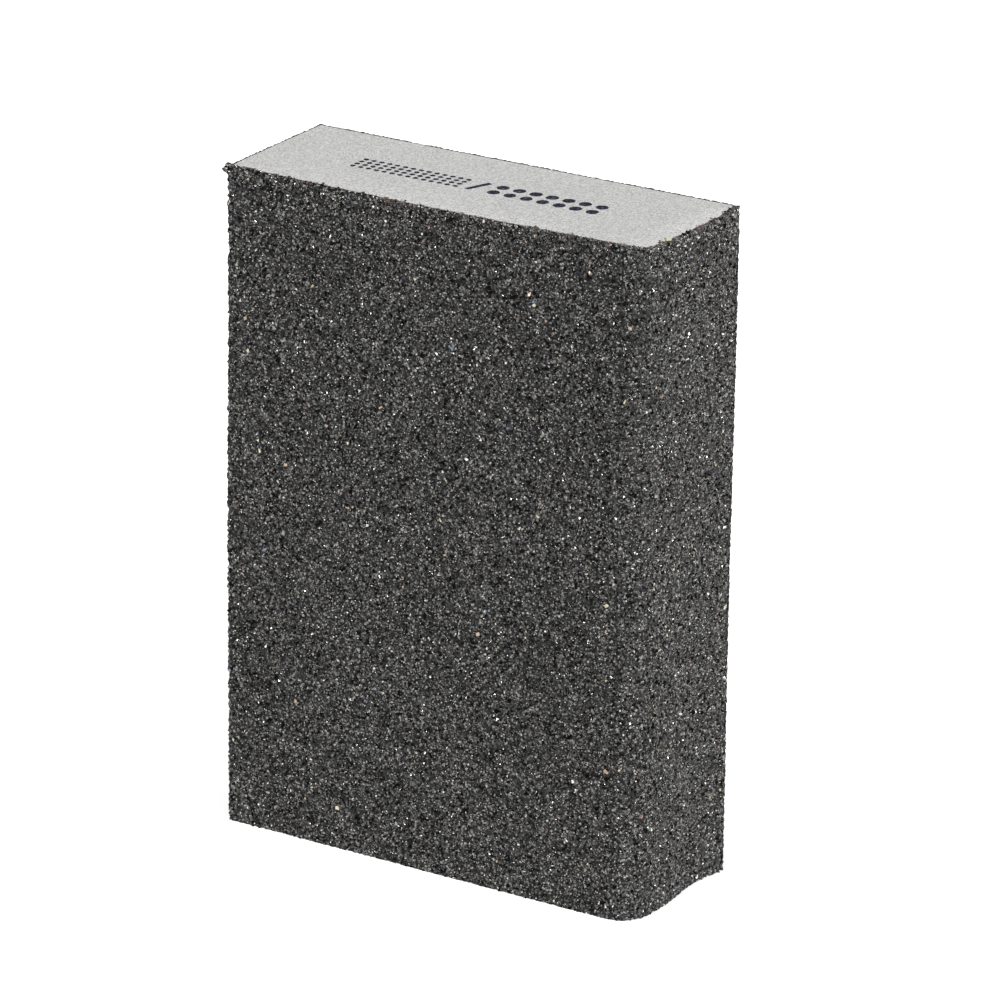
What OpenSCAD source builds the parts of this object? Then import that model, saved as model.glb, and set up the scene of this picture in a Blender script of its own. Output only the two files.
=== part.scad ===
// Foam sanding block, standing on one of its two bare cut ends.
// The wide faces look along Y (front is -Y), the narrow edge faces look along X.
// The front face and the right edge face carry one grade of grain, the back and the left another.

/* [Block] */
// Width across the narrow edge faces, over the grain
block_w = 70; // [60:1:90]
// Thickness between the two wide faces, over the grain
block_d = 25; // [20:1:40]
// Height between the two bare cut ends
block_h = 100; // [80:1:140]
// Radius of the rounded upright corner between the front and the right edge face
corner_r = 3.5; // [2:0.5:8]

/* [Coats] */
// Thickness of each resin bond coat
bond_t = 0.2; // [0.1:0.05:0.4]
// Thickness of the coarse grade's grain coats, on the front and the right edge face
coarse_t = 0.5; // [0.3:0.05:1]
// Thickness of the medium grade's grain coats, on the back and the left edge face
medium_t = 0.3; // [0.2:0.05:0.8]

/* [Grade stamp] */
// Length of the printed band, along the width of the block
stamp_w = 41; // [30:1:50]
// Height of the printed band, along the thickness of the block
stamp_d = 4.4; // [4:0.2:8]
// How far the band's centre lies to the right of the block's middle
stamp_x = 0.3; // [-5:0.1:5]
// How far the band's centre lies behind the block's middle, below zero for in front of it
stamp_y = -0.7; // [-3:0.1:3]
// Thickness of the ink film
ink_t = 0.05; // [0.02:0.01:0.1]
// Width of the slanted bar that divides the two grades
bar_w = 0.8; // [0.4:0.1:1.2]
// Slant of the dividing bar, in degrees
bar_slant = 20; // [0:5:30]
// Clear space on each side of the dividing bar
bar_gap = 2.4; // [1.8:0.2:3]
// Rows of small dots, for the finer grade
fine_rows = 4; // [2:1:4]
// Columns of small dots
fine_columns = 14; // [6:1:14]
// Radius of a small dot
fine_r = 0.38; // [0.2:0.02:0.4]
// Rows of large dots, for the coarser grade
coarse_rows = 2; // [1:1:2]
// Columns of large dots
coarse_columns = 7; // [4:1:7]
// Radius of a large dot
coarse_r = 0.9; // [0.5:0.1:0.9]

/* [Hidden] */

foam_colour = [0.78, 0.78, 0.77];
resin_colour = [0.36, 0.22, 0.16];
coarse_grain_colour = [0.26, 0.26, 0.26];
medium_grain_colour = [0.33, 0.32, 0.31];
ink_colour = [0.15, 0.17, 0.26];

group_w = stamp_w / 2 - bar_gap;
corner_fn = 96;
dot_fn = 32;

// The block's plan, drawn in from the outside on the coarse and on the medium faces.
// Three corners are square and the front-right one is an arc.
module plan_outline(coarse_inset, medium_inset) {
    left = -block_w / 2 + medium_inset;
    right = block_w / 2 - coarse_inset;
    front = -block_d / 2 + coarse_inset;
    back = block_d / 2 - medium_inset;
    r = corner_r - coarse_inset;
    translate([left, front])
        square([right - r - left, back - front]);
    translate([right - r, front + r])
        square([r, back - front - r]);
    translate([right - r, front + r])
        circle(r = r, $fn = corner_fn);
}

// A flat coat on the front face, from the left end at left_inset to the start of the rounded corner.
module front_coat(inset, thickness, left_inset) {
    translate([-block_w / 2 + left_inset, -block_d / 2 + inset, 0])
        cube([block_w - corner_r - left_inset, thickness, block_h]);
}

// A coat on the right edge face, carried round the rounded corner to meet the front coat.
module right_coat(inset, thickness, back_inset) {
    linear_extrude(height = block_h)
        intersection() {
            difference() {
                plan_outline(inset, back_inset);
                plan_outline(inset + thickness, back_inset);
            }
            translate([block_w / 2 - corner_r, -block_d / 2])
                square([corner_r, block_d - back_inset]);
        }
}

// A flat coat over the back face, out to the coats on both edge faces or past them.
module back_coat(inset, thickness, left_inset, right_inset) {
    translate([-block_w / 2 + left_inset, block_d / 2 - inset - thickness, 0])
        cube([block_w - left_inset - right_inset, thickness, block_h]);
}

// A flat coat on the left edge face, between the front coat and the back coat.
module left_coat(inset, thickness, front_inset, back_inset) {
    translate([-block_w / 2 + inset, -block_d / 2 + front_inset, 0])
        cube([thickness, block_d - front_inset - back_inset, block_h]);
}

// A block of printed dots, group_w long and stamp_d high, centred on x.
module dot_group(x, rows, columns, r) {
    column_pitch = (group_w - 2 * r) / (columns - 1);
    row_pitch = rows > 1 ? (stamp_d - 2 * r) / (rows - 1) : 0;
    for (row = [0 : rows - 1])
        for (column = [0 : columns - 1])
            translate([
                x + (column - (columns - 1) / 2) * column_pitch,
                (row - (rows - 1) / 2) * row_pitch,
                block_h
            ])
                cylinder(r = r, h = ink_t, $fn = dot_fn);
}

module foam_core() {
    color(foam_colour)
        linear_extrude(height = block_h)
            plan_outline(coarse_t + bond_t, medium_t + bond_t);
}

module front_bond_coat() {
    color(resin_colour)
        front_coat(coarse_t, bond_t, medium_t);
}

module front_grain_coat() {
    color(coarse_grain_colour)
        front_coat(0, coarse_t, 0);
}

module right_bond_coat() {
    color(resin_colour)
        right_coat(coarse_t, bond_t, medium_t + bond_t);
}

module right_grain_coat() {
    color(coarse_grain_colour)
        right_coat(0, coarse_t, medium_t);
}

module back_bond_coat() {
    color(resin_colour)
        back_coat(medium_t, bond_t, medium_t, coarse_t);
}

module back_grain_coat() {
    color(medium_grain_colour)
        back_coat(0, medium_t, 0, 0);
}

module left_bond_coat() {
    color(resin_colour)
        left_coat(medium_t, bond_t, coarse_t + bond_t, medium_t + bond_t);
}

module left_grain_coat() {
    color(medium_grain_colour)
        left_coat(0, medium_t, coarse_t, medium_t);
}

// Small dots for the finer grade, a slanted bar, and large dots for the coarser grade.
module grade_stamp() {
    color(ink_colour) translate([stamp_x, stamp_y, 0]) {
        dot_group(-(bar_gap + group_w / 2), fine_rows, fine_columns, fine_r);
        dot_group(bar_gap + group_w / 2, coarse_rows, coarse_columns, coarse_r);
        translate([0, 0, block_h + ink_t / 2])
            rotate([0, 0, -bar_slant])
                cube([bar_w, stamp_d, ink_t], center = true);
    }
}

foam_core();
front_bond_coat();
front_grain_coat();
right_bond_coat();
right_grain_coat();
back_bond_coat();
back_grain_coat();
left_bond_coat();
left_grain_coat();
grade_stamp();
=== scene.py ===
import math

import bmesh
import bpy
import numpy as np
from mathutils import Matrix, Vector


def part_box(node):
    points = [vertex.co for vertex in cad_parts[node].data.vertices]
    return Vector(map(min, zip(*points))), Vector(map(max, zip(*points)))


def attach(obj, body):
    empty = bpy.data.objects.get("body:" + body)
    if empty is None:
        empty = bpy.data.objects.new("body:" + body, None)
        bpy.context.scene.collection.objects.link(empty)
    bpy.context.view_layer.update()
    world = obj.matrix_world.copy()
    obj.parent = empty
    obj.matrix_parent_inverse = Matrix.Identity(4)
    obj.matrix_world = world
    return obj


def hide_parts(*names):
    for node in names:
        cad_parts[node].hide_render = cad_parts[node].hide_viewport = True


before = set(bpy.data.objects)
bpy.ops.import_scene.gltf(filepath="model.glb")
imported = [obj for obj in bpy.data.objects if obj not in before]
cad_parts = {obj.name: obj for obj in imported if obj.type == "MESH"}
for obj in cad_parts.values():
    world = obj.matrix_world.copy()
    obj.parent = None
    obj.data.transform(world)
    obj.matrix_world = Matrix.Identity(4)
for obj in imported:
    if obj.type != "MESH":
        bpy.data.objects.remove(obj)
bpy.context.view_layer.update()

# A foam sanding block stands on a bare cut end. Lengths are in metres, and MM turns millimetres into them.
# Every coat is modelled flat, in the plane of the front face, and then laid round the block.
MM = 0.001


# ---------------------------------------------------------------- sizes that the frame gives

foam_low, foam_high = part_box("foam_core")
front_low, front_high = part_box("front_grain_coat")
right_low, right_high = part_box("right_grain_coat")
back_low, back_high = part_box("back_grain_coat")
left_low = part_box("left_grain_coat")[0]
bond_low, bond_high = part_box("front_bond_coat")

LEFT, RIGHT = left_low.x, right_high.x
FRONT, BACK = front_low.y, back_high.y
BOTTOM, TOP = foam_low.z, foam_high.z
WIDTH, DEPTH, HEIGHT = RIGHT - LEFT, BACK - FRONT, TOP - BOTTOM
CORNER_R = right_high.x - right_low.x
COARSE_T = front_high.y - front_low.y
MEDIUM_T = back_high.y - back_low.y
BOND_T = bond_high.y - bond_low.y

# Distances along the coated side, counted from the front-left corner to the right.
ARC_FROM = WIDTH - CORNER_R
ARC_TO = ARC_FROM + CORNER_R * math.pi / 2
RIGHT_END = ARC_TO + DEPTH - CORNER_R


# ---------------------------------------------------------------- how the real block is out of true

# A hollow low in the right edge face. It is deepest at HOLLOW_Y, and it fades out towards the left.
HOLLOW_DEPTH = 1.0 * MM
HOLLOW_Y = 5.4 * MM
HOLLOW_REACH_Y = 5.6 * MM
HOLLOW_REACH_Z = 26 * MM
# A bulge at the top of the same face, and where both the hollow and the bulge start.
BULGE_RIGHT = 0.35 * MM
BULGE_REACH = 8 * MM
RIGHT_SWELL_FROM = RIGHT - 12 * MM
# The front-right upright corner, worn off at the bottom and left proud at the top.
WORN_BOTTOM = 0.50 * MM
SHARP_TOP = 0.15 * MM
WORN_REACH = 2.2 * MM
# A sway of the faces, and its wavelengths over 2 pi: on the two edge faces, and on the front and the back.
SWAY = 0.08 * MM
SIDE_SWAY_UP, SIDE_SWAY_ACROSS = 13 * MM, 9 * MM
FACE_SWAY_UP, FACE_SWAY_ACROSS = 17 * MM, 15 * MM
# The left edge face's place at its front and its back, and the right one's lean at the top.
LEFT_SLANT_FRONT = 0.3 * MM
LEFT_SLANT_BACK = -1.0 * MM
RIGHT_LEAN = 0.25 * MM
# How far the top end dips towards its edges, over what share of the depth the right edge's dip fades at
# the back, and how deep below the top a dip is felt.
DIP_FRONT_ENDS = 0.12 * MM
DIP_FRONT_MIDDLE = 0.62 * MM
DIP_FRONT_REACH = 2.0 * MM
DIP_RIGHT = 0.80 * MM
DIP_RIGHT_REACH = 3.0 * MM
DIP_RIGHT_FADES = 0.2
DIP_BACK = 0.20 * MM
DIP_FELT = 3 * MM


def smooth_step(t):
    """Rises smoothly from 0 to 1 while t does."""
    t = np.clip(t, 0, 1)
    return t * t * (3 - 2 * t)


def slumped(points):
    """Moves points of any piece alike, so that the layers stay together: a left edge face sawn a little
    aslant, a shallow hollow low in the right one and a bulge at its top, an upright corner worn rounder
    towards the bottom, a top that dips to its edges, and a slight sway of the faces."""
    x, y, z = points.T.copy()
    up = (z - BOTTOM) / HEIGHT
    back_share = (y - FRONT) / DEPTH
    towards_right = smooth_step((x - RIGHT_SWELL_FROM) / (RIGHT - RIGHT_SWELL_FROM))
    low = np.exp(-((z - BOTTOM) / HOLLOW_REACH_Z) ** 2)
    hollow = HOLLOW_DEPTH * np.exp(-((y - HOLLOW_Y) / HOLLOW_REACH_Y) ** 2) * low * towards_right
    near_corner = np.exp(-((x - RIGHT) ** 2 + (y - FRONT) ** 2) / (2 * WORN_REACH**2))
    worn = (WORN_BOTTOM * (1 - up) - SHARP_TOP * up) * near_corner / math.sqrt(2)
    sway_x = SWAY * np.sin(z / SIDE_SWAY_UP + y / SIDE_SWAY_ACROSS) * (2 * x / WIDTH)
    sway_y = SWAY * np.sin(z / FACE_SWAY_UP + x / FACE_SWAY_ACROSS) * (2 * y / DEPTH)
    slant = (LEFT_SLANT_FRONT * (1 - back_share) + LEFT_SLANT_BACK * back_share) * (RIGHT - x) / WIDTH
    lean = RIGHT_LEAN * up * (x - LEFT) / WIDTH
    bow = DIP_FRONT_ENDS + (DIP_FRONT_MIDDLE - DIP_FRONT_ENDS) * np.sin(math.pi * (x - LEFT) / WIDTH)
    dip = DIP_BACK + bow * np.exp(-np.maximum(y - FRONT, 0) / DIP_FRONT_REACH)
    right_dip = DIP_RIGHT * smooth_step((1 - back_share) / DIP_RIGHT_FADES)
    dip = np.maximum(dip, right_dip * np.exp(-np.maximum(RIGHT - x, 0) / DIP_RIGHT_REACH))
    z = z - dip * smooth_step(1 - (TOP - z) / DIP_FELT)
    near_top = np.exp(-(TOP - z) / BULGE_REACH)
    bulge = BULGE_RIGHT * np.sin(math.pi * np.clip(back_share, 0, 1)) * near_top * towards_right
    x = x - hollow - worn - lean + slant + sway_x + bulge
    return np.stack([x, y + worn + sway_y, np.maximum(z, BOTTOM)], axis=1)


def round_the_corner(points):
    """Lays points from the front plane round the front-right corner and along the right edge face."""
    along, out, z = points[:, 0] - LEFT, FRONT - points[:, 1], points[:, 2]
    turn = np.clip((along - ARC_FROM) / CORNER_R, 0, math.pi / 2)
    straight = np.maximum(along - ARC_TO, 0)
    reach = CORNER_R + out
    x = np.where(along < ARC_FROM, LEFT + along, RIGHT - CORNER_R + reach * np.sin(turn))
    y = FRONT + CORNER_R - reach * np.cos(turn) + straight
    return np.stack([x, y, z], axis=1)


def round_the_back(points):
    """Lays points from the front plane on the back face, starting at the right."""
    along, out, z = points[:, 0] - LEFT, FRONT - points[:, 1], points[:, 2]
    return np.stack([RIGHT - along, BACK + out, z], axis=1)


def round_the_left(points):
    """Lays points from the front plane on the left edge face, starting at the back."""
    along, out, z = points[:, 0] - LEFT, FRONT - points[:, 1], points[:, 2]
    return np.stack([LEFT - out, BACK - along, z], axis=1)


def foam_corner(points):
    """Draws the foam's square front-right corner in to its arc."""
    x, y, z = points.T.copy()
    centre_x, centre_y = RIGHT - CORNER_R, FRONT + CORNER_R
    across, down = x - centre_x, centre_y - y
    in_corner = (across > 0) & (down > 0)
    far = np.hypot(across, down)
    pull = np.where(in_corner, np.maximum(across, down) / np.maximum(far, 1e-9), 1)
    x = np.where(in_corner, centre_x + across * pull, x)
    y = np.where(in_corner, centre_y - down * pull, y)
    return np.stack([x, y, z], axis=1)


# ---------------------------------------------------------------- bench work

def pick_faces(piece, wanted):
    """In edit mode, selects the faces for which wanted(centre, normal) holds, and nothing else."""
    bpy.ops.mesh.select_mode(type="FACE")
    bpy.ops.mesh.select_all(action="DESELECT")
    shape = bmesh.from_edit_mesh(piece.data)
    for face in shape.faces:
        face.select_set(wanted(face.calc_center_median(), face.normal))
    bmesh.update_edit_mesh(piece.data)


def pick_points(piece, wanted):
    """In edit mode, selects the vertices for which wanted(place) holds, and nothing else."""
    bpy.ops.mesh.select_mode(type="VERT")
    bpy.ops.mesh.select_all(action="DESELECT")
    shape = bmesh.from_edit_mesh(piece.data)
    for vertex in shape.verts:
        vertex.select_set(wanted(vertex.co))
    shape.select_flush_mode()
    bmesh.update_edit_mesh(piece.data)


def places(piece):
    """The places of the piece's vertices, one row each."""
    found = np.empty(len(piece.data.vertices) * 3)
    piece.data.vertices.foreach_get("co", found)
    return found.reshape(-1, 3)


def reshape(piece, *moves):
    """Applies each move, a function from places to places, to the piece's own vertices."""
    spots = places(piece)
    for move in moves:
        spots = move(spots)
    piece.data.vertices.foreach_set("co", spots.ravel())
    piece.data.update()


def slab(name, low, high, columns, rows):
    """A closed slab from low to high, its large faces along X and Z cut into columns and rows."""
    bpy.ops.object.select_all(action="DESELECT")
    centre = (Vector(low) + Vector(high)) / 2
    bpy.ops.mesh.primitive_grid_add(
        x_subdivisions=columns, y_subdivisions=rows, size=1,
        location=(centre.x, high[1], centre.z), rotation=(math.pi / 2, 0, 0),
    )
    piece = bpy.context.active_object
    piece.name = piece.data.name = name
    piece.scale = (high[0] - low[0], high[2] - low[2], 1)
    bpy.ops.object.transform_apply(location=True, rotation=True, scale=True)
    bpy.ops.object.mode_set(mode="EDIT")
    bpy.ops.mesh.select_all(action="SELECT")
    bpy.ops.mesh.extrude_region_move(TRANSFORM_OT_translate={"value": (0, low[1] - high[1], 0)})
    bpy.ops.mesh.select_all(action="SELECT")
    bpy.ops.mesh.normals_make_consistent(inside=False)
    bpy.ops.object.mode_set(mode="OBJECT")
    return piece


def finish_piece(piece, slot, *materials, replaced=()):
    """Gives the piece its materials, the CAD nodes that it replaces and its place on the root body. slot is
    not used."""
    for material in materials:
        piece.data.materials.append(material)
    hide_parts(*replaced)
    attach(piece, "root")
    return piece


# ---------------------------------------------------------------- materials

def new_material(name, roughness, specular=0.5, ior=1.5):
    """A material with its plain numbers on the shader, and its node tree, shader and Object coordinates."""
    material = bpy.data.materials.new(name)
    material.use_nodes = True
    tree = material.node_tree
    shader = tree.nodes["Principled BSDF"]
    shader.inputs["Roughness"].default_value = roughness
    shader.inputs["Specular IOR Level"].default_value = specular
    shader.inputs["IOR"].default_value = ior
    where = tree.nodes.new("ShaderNodeTexCoord").outputs["Object"]
    return material, tree, shader, where


def noise(tree, where, scale, detail=2.0, roughness=0.5):
    """Cloudy noise, from 0 to 1, with about scale lumps to the metre."""
    node = tree.nodes.new("ShaderNodeTexNoise")
    node.inputs["Scale"].default_value = scale
    node.inputs["Detail"].default_value = detail
    node.inputs["Roughness"].default_value = roughness
    tree.links.new(where, node.inputs["Vector"])
    return node.outputs["Fac"]


def cells(tree, where, scale, output="Color"):
    """Packed cells: a random colour for each, or the distance from the middle of each."""
    node = tree.nodes.new("ShaderNodeTexVoronoi")
    node.inputs["Scale"].default_value = scale
    tree.links.new(where, node.inputs["Vector"])
    return node.outputs[output]


def ramp(tree, value, *stops):
    """A colour ramp fed by value. Each stop is (place, grey) or (place, (r, g, b))."""
    node = tree.nodes.new("ShaderNodeValToRGB")
    band = node.color_ramp
    while len(band.elements) < len(stops):
        band.elements.new(0.5)
    for element, (place, colour) in zip(band.elements, stops):
        element.position = place
        element.color = (*colour, 1) if isinstance(colour, tuple) else (colour, colour, colour, 1)
    tree.links.new(value, node.inputs["Fac"])
    return node.outputs["Color"]


def one_channel(tree, colour, channel):
    """The red, green or blue of a colour, as a plain value."""
    node = tree.nodes.new("ShaderNodeSeparateColor")
    tree.links.new(colour, node.inputs["Color"])
    return node.outputs[channel]


def multiplied(tree, first, second):
    """The product of two colours. The mix node's factor is input 0, its colours are inputs 6 and 7, and its
    mixed colour is output 2."""
    node = tree.nodes.new("ShaderNodeMix")
    node.data_type = "RGBA"
    node.blend_type = "MULTIPLY"
    node.inputs[0].default_value = 1
    tree.links.new(first, node.inputs[6])
    tree.links.new(second, node.inputs[7])
    return node.outputs[2]


def bump(tree, shader, height, distance, strength):
    """Roughens the shader's surface by height, without moving it."""
    node = tree.nodes.new("ShaderNodeBump")
    node.inputs["Distance"].default_value = distance
    node.inputs["Strength"].default_value = strength
    tree.links.new(height, node.inputs["Height"])
    tree.links.new(node.outputs["Normal"], shader.inputs["Normal"])


def foam_finish():
    """Pale grey fine-celled foam: small open cells with painted shade in their pits, and a faint unevenness.
    """
    material, tree, shader, where = new_material("pale_foam", roughness=0.9, specular=0.2)
    fine = cells(tree, where, 3000, "Distance")
    # Painted shade: each cell is painted darker towards its middle, where the bump sinks it into a pit.
    pit_shade_tone = ramp(tree, fine, (0.0, (0.25, 0.249, 0.243)), (0.55, (0.56, 0.558, 0.550)))
    streak = noise(tree, where, 1500, 4, 0.7)
    mottle = ramp(tree, streak, (0.32, 0.76), (0.68, 1.0))
    tree.links.new(multiplied(tree, pit_shade_tone, mottle), shader.inputs["Base Color"])
    bump(tree, shader, fine, 0.08 * MM, 0.5)
    return material


def resin_finish():
    """Brown phenolic resin, thicker and darker in places."""
    material, tree, shader, where = new_material("brown_resin", roughness=0.35, ior=1.55)
    depth = noise(tree, where, 1400, 3)
    tint = ramp(tree, depth, (0.35, (0.030, 0.022, 0.018)), (0.65, (0.16, 0.105, 0.078)))
    tree.links.new(tint, shader.inputs["Base Color"])
    bump(tree, shader, depth, 0.1 * MM, 0.5)
    return material


def bed_finish(name, scale):
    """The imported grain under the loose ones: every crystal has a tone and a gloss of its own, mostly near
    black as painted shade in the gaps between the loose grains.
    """
    material, tree, shader, where = new_material(name, roughness=0.45, ior=1.3)
    crystal = cells(tree, where, scale)
    tone = one_channel(tree, crystal, "Red")
    # Partly painted shade: most crystals are kept near black so that the bed reads as the shaded gaps
    # between the loose grains. The tone still differs at random from crystal to crystal.
    grey = ramp(
        tree, tone,
        (0.0, 0.002), (0.45, 0.007), (0.76, 0.030), (0.92, 0.09), (0.98, (0.25, 0.245, 0.23)),
    )
    tree.links.new(grey, shader.inputs["Base Color"])
    gloss = ramp(tree, one_channel(tree, crystal, "Green"), (0.0, 0.30), (1.0, 0.70))
    tree.links.new(gloss, shader.inputs["Roughness"])
    return material


def grain_finish(name, colour, roughness, ior):
    """One kind of loose crystal: its own plain colour, and a shine that dulls where a face is chipped."""
    material, tree, shader, where = new_material(name, roughness, ior=ior)
    shader.inputs["Base Color"].default_value = (*colour, 1)
    chips = ramp(tree, noise(tree, where, 6500, 2), (0.40, 0.30), (0.60, 0.80))
    tree.links.new(chips, shader.inputs["Specular IOR Level"])
    return material


def ink_finish():
    """Dark blue-black ink, thin where the foam's cells open."""
    material, tree, shader, where = new_material("stamp_ink", roughness=0.8, specular=0.15)
    cover = noise(tree, where, 2600, 4, 0.65)
    tint = ramp(
        tree, cover,
        (0.36, (0.006, 0.007, 0.014)), (0.54, (0.016, 0.019, 0.034)), (0.66, (0.12, 0.130, 0.155)),
    )
    tree.links.new(tint, shader.inputs["Base Color"])
    bump(tree, shader, cover, 0.05 * MM, 0.5)
    return material


foam_look = foam_finish()
resin_look = resin_finish()
coarse_bed_look = bed_finish("coarse_bed", 3500)
medium_bed_look = bed_finish("medium_bed", 4200)
ink_look = ink_finish()

# Each kind of crystal: its name, its share, its size beside the others, its colour, its roughness and its
# index of refraction. The last kind is grain drowned in resin. It has no share, and is chosen by place.
KINDS = (
    # The first kind is painted shade: near-black, dull crystals strewn among the others to stand for the
    # shaded gaps between grains.
    ("gap_shade", 0.19, 1.20, (0.003, 0.003, 0.003), 0.60, 1.10),
    ("black", 0.11, 1.05, (0.028, 0.0265, 0.024), 0.24, 1.75),
    ("charcoal", 0.34, 1.00, (0.088, 0.0830, 0.074), 0.30, 1.70),
    ("glassy", 0.17, 0.95, (0.020, 0.0195, 0.0185), 0.18, 2.00),
    ("smoky", 0.14, 0.90, (0.138, 0.131, 0.119), 0.24, 1.60),
    ("grey", 0.055, 0.80, (0.26, 0.250, 0.232), 0.22, 1.60),
    ("pale", 0.032, 0.75, (0.54, 0.525, 0.495), 0.22, 1.55),
    ("straw", 0.0016, 1.60, (0.46, 0.42, 0.31), 0.20, 1.60),
    ("amber", 0.0010, 1.50, (0.36, 0.27, 0.19), 0.20, 1.55),
    ("rose", 0.002, 1.20, (0.24, 0.16, 0.14), 0.20, 1.55),
    ("blue", 0.0015, 1.50, (0.12, 0.140, 0.18), 0.20, 1.55),
    ("rust", 0.018, 1.30, (0.074, 0.056, 0.049), 0.30, 1.55),
    ("resin_drowned", 0.0, 1.0, (0.075, 0.052, 0.043), 0.30, 1.50),
)
crystal_looks = [grain_finish(f"{name}_crystal", *finish) for name, share, size, *finish in KINDS]
crystal_shares = np.array([share for name, share, *rest in KINDS])
crystal_sizes = np.array([size for name, share, size, *rest in KINDS])
DROWNED = len(KINDS) - 1


# ---------------------------------------------------------------- foam body

CELL = 0.32 * MM
CELL_DEPTH = 0.05 * MM
WALL_STEP = 5 * MM
# What lies this near to an end or a side belongs to it.
EDGE = 0.1 * MM


def make_foam():
    """The foam block: a finely cut end, drawn out to the block's height, with open cells in both ends."""
    columns = round((foam_high.x - foam_low.x) / CELL)
    rows = round((foam_high.y - foam_low.y) / CELL)
    bpy.ops.object.select_all(action="DESELECT")
    centre = (foam_low + foam_high) / 2
    bpy.ops.mesh.primitive_grid_add(
        x_subdivisions=columns, y_subdivisions=rows, size=1,
        location=(centre.x, centre.y, BOTTOM),
    )
    foam = bpy.context.active_object
    foam.name = foam.data.name = "foam_body"
    foam.scale = (foam_high.x - foam_low.x, foam_high.y - foam_low.y, 1)
    bpy.ops.object.transform_apply(location=True, rotation=True, scale=True)
    bpy.ops.object.mode_set(mode="EDIT")
    bpy.ops.mesh.select_all(action="SELECT")
    bpy.ops.mesh.extrude_region_move(TRANSFORM_OT_translate={"value": (0, 0, HEIGHT)})
    for step in range(1, round(HEIGHT / WALL_STEP)):
        bpy.ops.mesh.select_all(action="SELECT")
        bpy.ops.mesh.bisect(plane_co=(0, 0, BOTTOM + step * WALL_STEP), plane_no=(0, 0, 1))
    bpy.ops.mesh.select_all(action="SELECT")
    bpy.ops.mesh.normals_make_consistent(inside=False)
    pick_points(foam, lambda p: (p.z < BOTTOM + EDGE or p.z > TOP - EDGE)
                and foam_low.x + EDGE < p.x < foam_high.x - EDGE
                and foam_low.y + EDGE < p.y < foam_high.y - EDGE)
    bpy.ops.transform.vertex_random(offset=CELL_DEPTH, seed=11)
    bpy.ops.object.mode_set(mode="OBJECT")

    def within_the_height(spots):
        """No part of a cell's rim stands past the cut ends."""
        spots = spots.copy()
        spots[:, 2] = np.clip(spots[:, 2], BOTTOM, TOP)
        return spots

    reshape(foam, foam_corner, within_the_height, slumped)
    return finish_piece(foam, "foam", foam_look, replaced=["foam_core"])


# ---------------------------------------------------------------- coats

RESIN_CELL = 0.30 * MM
RESIN_ROWS = 16
RESIN_BLOT_REACH = 0.45 * MM
RESIN_BLOT_WAVES = (2.3 * MM, 4.1 * MM, 7.9 * MM, 13 * MM)
BED_SUNK = 0.07 * MM
BED_CELL = 2.0 * MM
BED_CUTS = 5
BED_TOP_WAVES = (1.3 * MM, 2.9 * MM, 7 * MM)
BED_TOP_RISE = 0.6
# A bed's front is roughened twice: all ways by this share of its roughness, and then outwards by all of it.
ALL_WAYS_SHARE = 0.6
ALL_WAYS_UNIFORM = 0.3
FACES_FRONT = -0.9


def ragged(along, seed, waves):
    """A smooth uneven line of a few wavelengths: how far an edge wanders, from 0 to 1, along it."""
    dice = np.random.default_rng(seed)
    total = np.zeros_like(along)
    for wave in waves:
        total += np.sin(along * 2 * math.pi / wave + dice.uniform(0, 2 * math.pi))
    return 0.5 + 0.5 * total / len(waves)


def make_resin(name, start, end, inset, sunk, blot_height, lay, cad_node, seed):
    """A film of resin along the side from start to end, with an uneven rim at the top."""
    low = (LEFT + start, FRONT + inset, BOTTOM)
    high = (LEFT + end, FRONT + inset + BOND_T, TOP - sunk)
    resin = slab(name, low, high, round((end - start) / RESIN_CELL), RESIN_ROWS)

    def blotted(spots):
        """Lets the resin stand over the cut edge and soak into the foam in blots."""
        spots = spots.copy()
        at_top = spots[:, 2] > TOP - sunk - EDGE
        inner = spots[:, 1] > FRONT + inset + BOND_T / 2
        blot = ragged(spots[:, 0] - LEFT, seed, RESIN_BLOT_WAVES) ** 4
        spots[:, 2] += np.where(at_top, blot * blot_height, 0)
        spots[:, 1] += np.where(at_top & inner, blot * RESIN_BLOT_REACH, 0)
        return spots

    reshape(resin, blotted, lay, slumped)
    return finish_piece(resin, "bond_resin", resin_look, replaced=[cad_node])


def make_bed(name, start, end, thickness, rough, sunk, lay, slot, look, cad_node, seed):
    """A bed of packed grain along the side from start to end: coarse cells behind, finely cut in front."""
    low = (LEFT + start, FRONT + BED_SUNK, BOTTOM)
    high = (LEFT + end, FRONT + thickness, TOP - sunk)
    bed = slab(name, low, high, round((end - start) / BED_CELL), round(HEIGHT / BED_CELL))
    bpy.ops.object.mode_set(mode="EDIT")
    pick_faces(bed, lambda centre, normal: normal.y < FACES_FRONT)
    bpy.ops.mesh.subdivide(number_cuts=BED_CUTS)
    pick_points(bed, lambda p: p.y < FRONT + thickness / 2)
    bpy.ops.transform.vertex_random(offset=rough * ALL_WAYS_SHARE, uniform=ALL_WAYS_UNIFORM, seed=seed)
    bpy.ops.transform.vertex_random(offset=rough, normal=1.0, seed=seed + 1)
    pick_faces(bed, lambda centre, normal: centre.y < FRONT + thickness / 2)
    bpy.ops.mesh.quads_convert_to_tris(quad_method="SHORTEST_DIAGONAL")
    bpy.ops.object.mode_set(mode="OBJECT")

    def uneven_top(spots):
        """Lets the coat reach the cut edge in some places and fall short of it in others."""
        spots = spots.copy()
        at_top = spots[:, 2] > TOP - sunk - EDGE
        rise = ragged(spots[:, 0] - LEFT, seed, BED_TOP_WAVES) * BED_TOP_RISE * sunk
        spots[:, 2] += np.where(at_top, rise, 0)
        return spots

    reshape(bed, uneven_top, lay, slumped)
    return finish_piece(bed, slot, look, replaced=[cad_node])


# ---------------------------------------------------------------- loose grains

CHIPPING = 0.22
CHIPPING_UNIFORM = 0.4


def double_point():
    bpy.ops.mesh.primitive_uv_sphere_add(segments=4, ring_count=3, radius=0.6)


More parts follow.
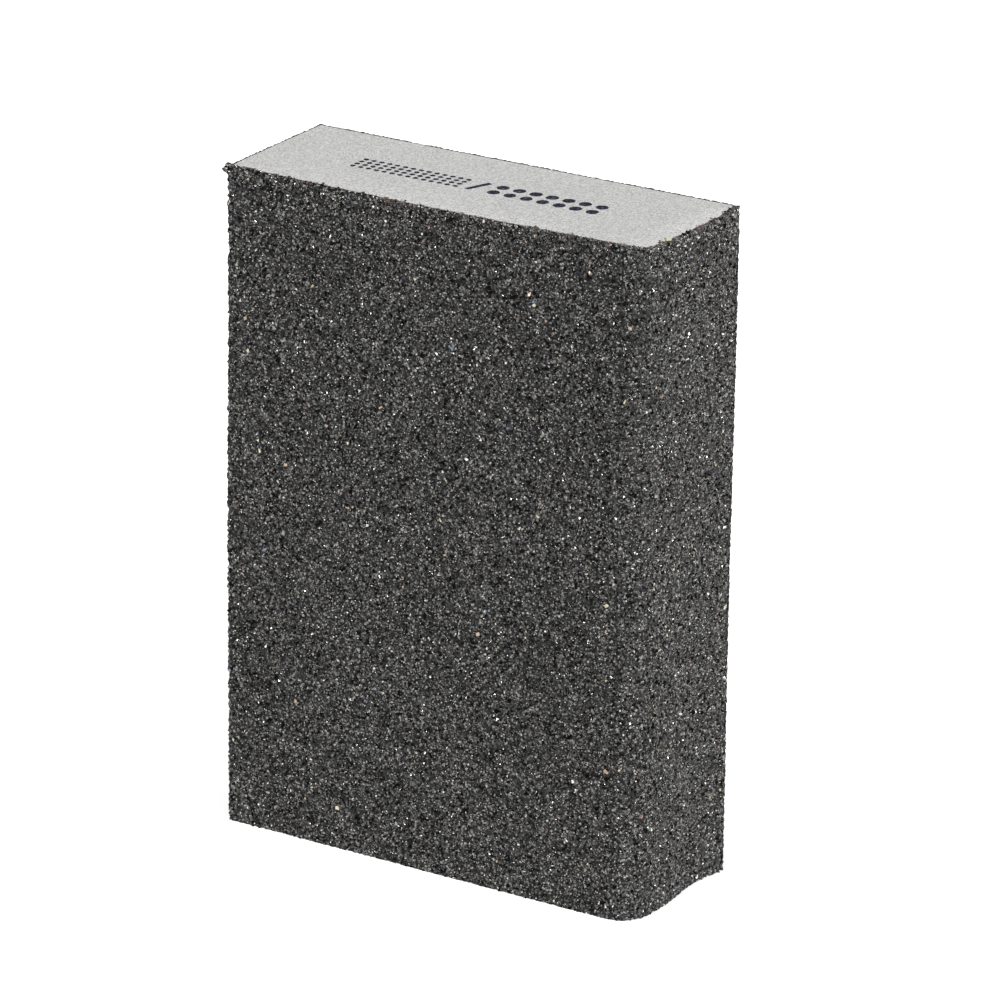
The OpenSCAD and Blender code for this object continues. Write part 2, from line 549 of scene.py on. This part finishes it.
def long_shard():
    bpy.ops.mesh.primitive_cylinder_add(vertices=3, radius=0.45, depth=1.3)


def short_shard():
    bpy.ops.mesh.primitive_cylinder_add(vertices=3, radius=0.5, depth=1.1)


def wedge():
    bpy.ops.mesh.primitive_cone_add(vertices=3, radius1=0.6, depth=1.2)


def chipped_block():
    bpy.ops.mesh.primitive_cube_add(size=0.8)


def model_grains():
    """Eight crystals, about one unit across, each chipped and flattened in its own way."""
    starts = (
        double_point, long_shard, chipped_block, double_point,
        wedge, chipped_block, short_shard, double_point,
    )
    grains = []
    for seed, start in enumerate(starts):
        bpy.ops.object.select_all(action="DESELECT")
        start()
        grain = bpy.context.active_object
        breadth = 0.85 - 0.05 * (seed % 3)
        thickness = 0.7 + 0.08 * (seed % 4)
        bpy.ops.object.mode_set(mode="EDIT")
        bpy.ops.mesh.select_all(action="SELECT")
        bpy.ops.transform.vertex_random(offset=CHIPPING, uniform=CHIPPING_UNIFORM, seed=seed)
        bpy.ops.transform.resize(value=(1.0, breadth, thickness))
        bpy.ops.mesh.quads_convert_to_tris(quad_method="SHORTEST_DIAGONAL")
        bpy.ops.mesh.normals_make_consistent(inside=False)
        bpy.ops.object.mode_set(mode="OBJECT")
        corners = np.array([list(face.vertices) for face in grain.data.polygons])
        grains.append((places(grain), corners))
        bpy.data.objects.remove(grain)
    return grains


GRAINS = model_grains()


def turns(count, dice):
    """A random turn for each of count grains, as 3 by 3 matrices."""
    q = dice.normal(size=(count, 4))
    a, b, c, d = (q / np.linalg.norm(q, axis=1, keepdims=True)).T
    return np.stack([
        1 - 2 * (c * c + d * d), 2 * (b * c - a * d), 2 * (b * d + a * c),
        2 * (b * c + a * d), 1 - 2 * (b * b + d * d), 2 * (c * d - a * b),
        2 * (b * d - a * c), 2 * (c * d + a * b), 1 - 2 * (b * b + c * c),
    ], axis=1).reshape(count, 3, 3)


# How much the crystals of one kind differ in size, and how far they are drawn out or flattened, both as
# logarithms.
SIZE_SPREAD = 0.22
STRETCH_SPREAD = 0.30
STRETCH_MOST = 0.5


def sow(name, spots, size, dice, slot, drowned=0):
    """One piece of loose grains: a copy of a modelled crystal at each spot, with a turn, a size and a kind
    of its own. drowned is the chance that a grain is drowned in resin, one number or one for each spot."""
    shape_of = dice.integers(len(GRAINS), size=len(spots))
    kind_of = dice.choice(len(KINDS), size=len(spots), p=crystal_shares / crystal_shares.sum())
    kind_of = np.where(dice.uniform(size=len(spots)) < drowned, DROWNED, kind_of)
    across = size * crystal_sizes[kind_of] * np.exp(dice.normal(0, SIZE_SPREAD, size=len(spots)))
    drawn_out = dice.normal(0, STRETCH_SPREAD, size=(len(spots), 3))
    stretch = np.exp(np.clip(drawn_out, -STRETCH_MOST, STRETCH_MOST))
    spin = turns(len(spots), dice)
    all_spots, all_corners, all_kinds, used = [], [], [], 0
    for index, (shape, corners) in enumerate(GRAINS):
        chosen = np.flatnonzero(shape_of == index)
        grown = shape[None] * (across[chosen, None] * stretch[chosen])[:, None, :]
        placed = np.einsum("nij,nkj->nki", spin[chosen], grown) + spots[chosen][:, None, :]
        starts = used + np.arange(len(chosen)) * len(shape)
        all_corners.append((corners[None] + starts[:, None, None]).reshape(-1, 3))
        all_spots.append(placed.reshape(-1, 3))
        all_kinds.append(np.repeat(kind_of[chosen], len(corners)))
        used += len(chosen) * len(shape)
    mesh = bpy.data.meshes.new(name)
    spots_in = np.concatenate(all_spots)
    spots_in[:, 2] = np.maximum(spots_in[:, 2], BOTTOM)
    mesh.from_pydata(spots_in, [], np.concatenate(all_corners))
    piece = bpy.data.objects.new(name, mesh)
    bpy.context.scene.collection.objects.link(piece)
    finish_piece(piece, slot, *crystal_looks)
    mesh.polygons.foreach_set("material_index", np.concatenate(all_kinds))
    return piece


# Clear space at the ends of a face, how far down the resin drowns the grain, and how far, in pitches, a
# grain may lie from its place in the row.
EDGE_GAP = 0.18 * MM
RESIN_RUN = 1.6 * MM
LOOSENESS = 0.7
RESIN_WAVES = (3.7 * MM, 6.1 * MM, 17 * MM, 29 * MM)
RESIN_SEED = 5
RESIN_CONTRAST = 3
RESIN_HIDDEN = 0.8


def strewn(start, end, pitch, depth, top_gap, dice):
    """Spots for loose grains in the front plane: staggered rows, loosened, at depths in the coat between the
    two that depth gives."""
    along, up = np.meshgrid(np.arange(start, end, pitch), np.arange(0, HEIGHT, pitch))
    along[1::2] += pitch / 2
    count = along.size
    x = LEFT + along.ravel() + dice.uniform(0, LOOSENESS * pitch, count)
    z = BOTTOM + up.ravel() + dice.uniform(0, LOOSENESS * pitch, count)
    y = FRONT + dice.uniform(depth[0], depth[1], count)
    inside = (x > LEFT + start + EDGE_GAP) & (x < LEFT + end - EDGE_GAP) & (z < TOP - top_gap)
    return np.stack([x, y, z], axis=1)[inside]


def resin_blots(along):
    """Where the resin shows, from 0 to 1, at each distance along the coated side: in a few blots."""
    return np.clip(RESIN_CONTRAST * ragged(along, RESIN_SEED, RESIN_WAVES) ** 3 - RESIN_HIDDEN, 0, 1)


RIM_GRAIN = 0.27 * MM
RIM_SPACING = 0.07 * MM
RIM_WAVES = (0.7 * MM, 1.5 * MM, 3.1 * MM, 7 * MM)
RIM_STARTS = 0.15 * MM
RIM_REACH = 0.35 * MM
RIM_CLUMP_REACH = 1.0 * MM
RIM_CLUMP_RISE = 0.35 * MM
RIM_DROWNED_LEAST = 0.1
RIM_DROWNED_MORE = 0.8


def sow_rim(name, start, end, lay, slot, seed):
    """Grains that crowd the cut edge at the top, in clumps that climb over the resin and onto the foam."""
    dice = np.random.default_rng(seed)
    count = round((end - start) / RIM_SPACING)
    along = dice.uniform(start, end, count)
    clump = ragged(along, seed, RIM_WAVES) ** 2
    inwards = dice.uniform(0, 1, count)
    y = FRONT + RIM_STARTS + inwards * (RIM_REACH + RIM_CLUMP_REACH * clump)
    z = TOP - RIM_STARTS + (1 - inwards) * RIM_CLUMP_RISE * clump
    spots = slumped(lay(np.stack([LEFT + along, y, z], axis=1)))
    drowned = RIM_DROWNED_LEAST + RIM_DROWNED_MORE * resin_blots(along)
    return sow(name, spots, RIM_GRAIN, dice, slot, drowned)


def sow_face(side, start, end, pitch, size, depth, top_gap, lay, slot, seed, bands=1):
    """Strews loose grains over one face, as one piece or as bands of its height."""
    dice = np.random.default_rng(seed)
    flat = strewn(start, end, pitch, depth, top_gap, dice)
    near_top = np.clip(1 - (TOP - flat[:, 2]) / RESIN_RUN, 0, 1)
    drowned = near_top * resin_blots(flat[:, 0] - LEFT)
    spots = slumped(lay(flat))
    band_of = np.clip((spots[:, 2] - BOTTOM) / HEIGHT * bands, 0, bands - 1).astype(int)
    for band in range(bands):
        name = f"{side}_grains" if bands == 1 else f"{side}_grains_{band + 1}"
        mine = band_of == band
        sow(name, spots[mine], size, dice, slot, drowned[mine])


LUMP_CENTRE = (LEFT + 0.35 * MM, FRONT + 0.2 * MM, TOP - 0.75 * MM)
LUMP_REACH = (0.75 * MM, 0.7 * MM, 0.8 * MM)
LUMP_COUNT = 110
LUMP_GRAIN = 0.38 * MM
LUMP_CROWDING = 0.4
LUMP_TOP = TOP + 0.05 * MM


def sow_lump(name, slot, seed):
    """A lump of resin-bound grain at the front-left top corner, left where two coats were trimmed."""
    dice = np.random.default_rng(seed)
    towards = dice.normal(size=(LUMP_COUNT, 3))
    towards /= np.linalg.norm(towards, axis=1, keepdims=True)
    out = dice.uniform(size=(LUMP_COUNT, 1)) ** LUMP_CROWDING
    spots = np.array(LUMP_CENTRE) + towards * np.array(LUMP_REACH) * out
    spots[:, 2] = np.minimum(spots[:, 2], LUMP_TOP)
    return sow(name, spots, LUMP_GRAIN, dice, slot)


# ---------------------------------------------------------------- print

BLEED = 0.05 * MM
BLEED_WAVES_X = (0.071 * MM, 0.113 * MM)
BLEED_WAVES_Y = (0.083 * MM, 0.127 * MM)


def make_stamp():
    """The printed band: its dots and bar bleed a little into the foam's open cells."""
    bpy.ops.object.select_all(action="DESELECT")
    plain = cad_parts["grade_stamp"]
    plain.select_set(True)
    bpy.context.view_layer.objects.active = plain
    bpy.ops.object.duplicate()
    print_band = bpy.context.active_object
    print_band.name = print_band.data.name = "print_band"
    print_band.data.materials.clear()
    bpy.ops.object.mode_set(mode="EDIT")
    bpy.ops.mesh.select_all(action="SELECT")
    bpy.ops.mesh.remove_doubles(threshold=0.001 * MM)
    bpy.ops.mesh.normals_make_consistent(inside=False)
    bpy.ops.object.mode_set(mode="OBJECT")

    def bled(spots):
        """Lets the edges wander by the width of the bleed."""
        x, y, z = spots.T
        wander_x = np.sin(x / BLEED_WAVES_X[0] + 2 * np.sin(y / BLEED_WAVES_X[1]))
        wander_y = np.sin(y / BLEED_WAVES_Y[0] + 2 * np.sin(x / BLEED_WAVES_Y[1]))
        return np.stack([x + BLEED * wander_x, y + BLEED * wander_y, z], axis=1)

    reshape(print_band, bled, slumped)
    return finish_piece(print_band, "stamp_ink", ink_look, replaced=["grade_stamp"])


# ---------------------------------------------------------------- the block

make_foam()

make_resin(
    "front_resin", MEDIUM_T, ARC_FROM, inset=COARSE_T, sunk=0.08 * MM, blot_height=0.22 * MM,
    lay=round_the_corner, cad_node="front_bond_coat", seed=21,
)
make_resin(
    "right_resin", ARC_FROM, RIGHT_END - MEDIUM_T - BOND_T, inset=COARSE_T, sunk=0.10 * MM,
    blot_height=0.20 * MM, lay=round_the_corner, cad_node="right_bond_coat", seed=22,
)
make_resin(
    "back_resin", COARSE_T, WIDTH - MEDIUM_T, inset=MEDIUM_T, sunk=0.05 * MM, blot_height=0.05 * MM,
    lay=round_the_back, cad_node="back_bond_coat", seed=23,
)
make_resin(
    "left_resin", MEDIUM_T + BOND_T, DEPTH - COARSE_T - BOND_T, inset=MEDIUM_T, sunk=0.05 * MM,
    blot_height=0.05 * MM, lay=round_the_left, cad_node="left_bond_coat", seed=24,
)

COARSE_BED = dict(
    thickness=COARSE_T, rough=0.16 * MM, sunk=0.05 * MM, slot="coarse_grain", look=coarse_bed_look,
)
MEDIUM_BED = dict(thickness=MEDIUM_T, rough=0.08 * MM, slot="medium_grain", look=medium_bed_look)
make_bed(
    "front_grain_bed", 0, ARC_FROM, lay=round_the_corner, cad_node="front_grain_coat", seed=31,
    **COARSE_BED,
)
make_bed(
    "right_grain_bed", ARC_FROM, RIGHT_END - MEDIUM_T, lay=round_the_corner, cad_node="right_grain_coat",
    seed=33, **COARSE_BED,
)
make_bed(
    "back_grain_bed", 0, WIDTH, sunk=0.02 * MM, lay=round_the_back, cad_node="back_grain_coat", seed=35,
    **MEDIUM_BED,
)
make_bed(
    "left_grain_bed", MEDIUM_T, DEPTH - COARSE_T, sunk=0.10 * MM, lay=round_the_left,
    cad_node="left_grain_coat", seed=37, **MEDIUM_BED,
)

COARSE_GRAINS = dict(
    pitch=0.33 * MM, size=0.25 * MM, depth=(-0.03 * MM, 0.28 * MM), top_gap=-0.05 * MM,
    slot="coarse_grain",
)
MEDIUM_GRAINS = dict(
    pitch=0.50 * MM, size=0.26 * MM, depth=(0.06 * MM, 0.18 * MM), top_gap=0.25 * MM,
    slot="medium_grain",
)
sow_face("front", 0, ARC_FROM, lay=round_the_corner, seed=41, bands=4, **COARSE_GRAINS)
sow_face("right", ARC_FROM, RIGHT_END, lay=round_the_corner, seed=42, bands=2, **COARSE_GRAINS)
sow_face("back", 0, WIDTH, lay=round_the_back, seed=43, bands=2, **MEDIUM_GRAINS)
sow_face("left", 0, DEPTH, lay=round_the_left, seed=44, **MEDIUM_GRAINS)
sow_rim("front_rim_grains", 0.2 * MM, ARC_FROM, round_the_corner, "coarse_grain", seed=45)
sow_rim("right_rim_grains", ARC_FROM, RIGHT_END - 0.5 * MM, round_the_corner, "coarse_grain", seed=46)
sow_lump("corner_lump", "coarse_grain", seed=47)

make_stamp()


# ---------------------------------------------------------------- camera, floor and light

CAMERA_AZIMUTH = math.radians(32.82)
CAMERA_ELEVATION = math.radians(19.26)
CAMERA_ROLL = math.radians(0.786)
CAMERA_DISTANCE = 0.9564
CAMERA_LENS = 241.2
SENSOR_WIDTH = 36
AIM_RIGHT, AIM_UP = 3.27 * MM, 2.83 * MM


def make_camera():
    """A long lens that looks down on the block from the front and the right."""
    back = Vector((
        math.sin(CAMERA_AZIMUTH) * math.cos(CAMERA_ELEVATION),
        -math.cos(CAMERA_AZIMUTH) * math.cos(CAMERA_ELEVATION),
        math.sin(CAMERA_ELEVATION),
    ))
    level = Vector((math.cos(CAMERA_AZIMUTH), math.sin(CAMERA_AZIMUTH), 0))
    rise = back.cross(level)
    right = level * math.cos(CAMERA_ROLL) + rise * math.sin(CAMERA_ROLL)
    up = rise * math.cos(CAMERA_ROLL) - level * math.sin(CAMERA_ROLL)
    middle = Vector((0, 0, (BOTTOM + TOP) / 2))
    aim = middle + right * AIM_RIGHT + up * AIM_UP
    camera = bpy.data.objects.new("camera", bpy.data.cameras.new("camera"))
    camera.data.sensor_width = SENSOR_WIDTH
    camera.data.lens = CAMERA_LENS
    bpy.context.scene.collection.objects.link(camera)
    turn = Matrix((right, up, back)).transposed().to_4x4()
    camera.matrix_world = Matrix.Translation(aim + back * CAMERA_DISTANCE) @ turn
    bpy.context.scene.camera = camera


FLOOR_SIZE = 12
FLOOR_GLOW = 0.33


def make_floor():
    """A plain pale floor that glows faintly, as a lit studio table does."""
    bpy.ops.object.select_all(action="DESELECT")
    bpy.ops.mesh.primitive_plane_add(size=FLOOR_SIZE, location=(0, 0, BOTTOM))
    floor = bpy.context.active_object
    floor.name = "floor"
    material, tree, shader, where = new_material("pale_floor", roughness=0.9, specular=0.1)
    shader.inputs["Base Color"].default_value = (0.92, 0.92, 0.92, 1)
    shader.inputs["Emission Color"].default_value = (1, 1, 1, 1)
    shader.inputs["Emission Strength"].default_value = FLOOR_GLOW
    floor.data.materials.append(material)


def make_softbox(name, azimuth, elevation, width, strength):
    """A far, broad softbox. Its azimuth is counted from the front to the right, and its width is an
    angle."""
    light = bpy.data.objects.new(name, bpy.data.lights.new(name, "SUN"))
    light.data.angle = math.radians(width)
    light.data.energy = strength
    turn, rise = math.radians(azimuth), math.radians(elevation)
    towards = Vector((math.sin(turn) * math.cos(rise), -math.cos(turn) * math.cos(rise), math.sin(rise)))
    light.rotation_mode = "QUATERNION"
    light.rotation_quaternion = towards.to_track_quat("Z", "Y")
    bpy.context.scene.collection.objects.link(light)


def make_sky(strength):
    """An even white light from all sides."""
    world = bpy.data.worlds.new("studio")
    world.use_nodes = True
    world.node_tree.nodes["Background"].inputs["Color"].default_value = (1, 1, 1, 1)
    world.node_tree.nodes["Background"].inputs["Strength"].default_value = strength
    bpy.context.scene.world = world


make_camera()
make_floor()
make_sky(0.18)
make_softbox("key", azimuth=63, elevation=22, width=22, strength=3.8)
make_softbox("top", azimuth=-20, elevation=78, width=28, strength=2.0)
bpy.context.scene.view_settings.view_transform = "Standard"
